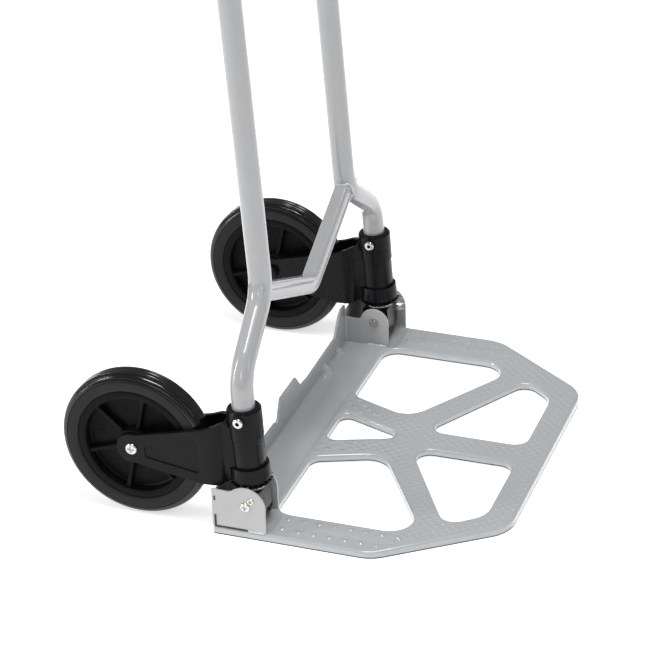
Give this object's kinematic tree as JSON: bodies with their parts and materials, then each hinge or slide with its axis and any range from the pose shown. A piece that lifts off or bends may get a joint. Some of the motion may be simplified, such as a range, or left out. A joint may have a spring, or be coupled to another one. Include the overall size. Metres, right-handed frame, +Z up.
{
  "type": "folding hand truck",
  "caption": "Folding hand truck with a hexagonal fold-up toe plate, geared swing-in wheels and a telescopic handle.",
  "frame": {"origin": "on the floor at the middle of the footprint, with the toe plate down and both wheels on the floor", "axes": "+X from the left wheel to the right wheel, -Y towards the nose of the toe plate, +Y towards the wheels and the person, +Z up"},
  "size_m": [0.4824, 0.4799, 1.054],
  "materials": {
    "frame_paint": "gloss",
    "plate_paint": "gloss",
    "zinc": "bright zinc",
    "gear_steel": "bluish zinc",
    "brass": "satin",
    "nylon": "matte",
    "tyre": "satin",
    "grip": "matte",
    "hub_plastic": "satin",
    "shoe": "satin",
    "black_plastic": "satin"
  },
  "bodies": {
    "frame": {"side_tube_left": "frame_paint", "side_tube_right": "frame_paint", "crossbar": "frame_paint", "frame_welds": "frame_paint", "upper_collar_left": "black_plastic", "upper_collar_right": "black_plastic", "collar_screw_left": "zinc", "collar_screw_right": "zinc", "tube_shoe_left": "shoe", "tube_shoe_right": "shoe", "thrust_washer_left": "nylon", "thrust_washer_right": "nylon", "tube_bush_left": "black_plastic", "tube_bush_right": "black_plastic", "bridge_front": "black_plastic", "bridge_rear": "black_plastic", "bridge_screws": "zinc", "lock_spring_left": "zinc", "lock_spring_right": "zinc"},
    "toe_plate": {"toe_plate": "plate_paint", "bracket_left": "plate_paint", "bracket_right": "plate_paint", "bracket_welds": "plate_paint", "sector_gear_left": "gear_steel", "sector_gear_right": "gear_steel", "gear_rivet_left": "brass", "gear_rivet_right": "brass", "pivot_pin_left": "zinc", "pivot_pin_right": "zinc"},
    "handle": {"handle_tube": "frame_paint", "handle_grip": "grip", "slide_plug_left": "nylon", "slide_plug_right": "nylon"},
    "arm_left": {"arm_left": "black_plastic", "crown_collar_left": "black_plastic", "axle_left": "zinc", "axle_cap_left": "black_plastic"},
    "wheel_left": {"wheel_hub_left": "hub_plastic", "tyre_left": "tyre", "wheel_bush_left": "nylon"},
    "lock_left": {"lock_knob_left": "black_plastic", "lock_pin_left": "zinc"},
    "arm_right": {"arm_right": "black_plastic", "crown_collar_right": "black_plastic", "axle_right": "zinc", "axle_cap_right": "black_plastic"},
    "wheel_right": {"wheel_hub_right": "hub_plastic", "tyre_right": "tyre", "wheel_bush_right": "nylon"},
    "lock_right": {"lock_knob_right": "black_plastic", "lock_pin_right": "zinc"}
  },
  "joints": [
    {"name": "toe_plate_fold", "type": "hinge", "parent": "frame", "child": "toe_plate", "pos_m": [0, 0.02495, 0.039], "axis": [-1, 0, 0], "range_deg": [0, 90]},
    {"name": "arm_left_swing", "type": "hinge", "parent": "frame", "child": "arm_left", "pos_m": [-0.213, 0.02495, 0.039], "axis": [0, -0.0628, -0.998], "range_deg": [0, 90]},
    {"name": "arm_right_swing", "type": "hinge", "parent": "frame", "child": "arm_right", "pos_m": [0.213, 0.02495, 0.039], "axis": [0, 0.0628, 0.998], "range_deg": [0, 90]},
    {"name": "wheel_left_spin", "type": "hinge", "parent": "arm_left", "child": "wheel_left", "pos_m": [-0.213, 0.155, 0.085], "axis": [1, 0, 0], "continuous": true},
    {"name": "wheel_right_spin", "type": "hinge", "parent": "arm_right", "child": "wheel_right", "pos_m": [0.213, 0.155, 0.085], "axis": [1, 0, 0], "continuous": true},
    {"name": "handle_slide", "type": "slide", "parent": "frame", "child": "handle", "axis": [0, 0.0628, 0.998], "range_m": [-0.285, 0]},
    {"name": "lock_left_pull", "type": "slide", "parent": "frame", "child": "lock_left", "axis": [0, 0.998, -0.0628], "range_m": [0, 0.006], "stiffness_N_per_m": 800, "springref_m": -0.002, "deforming": ["lock_spring_left"]},
    {"name": "lock_right_pull", "type": "slide", "parent": "frame", "child": "lock_right", "axis": [0, 0.998, -0.0628], "range_m": [0, 0.006], "stiffness_N_per_m": 800, "springref_m": -0.002, "deforming": ["lock_spring_right"]}
  ],
  "couplings": [
    {"joint": "arm_left_swing", "follows": "toe_plate_fold", "ratio": 1},
    {"joint": "arm_right_swing", "follows": "toe_plate_fold", "ratio": 1}
  ]
}
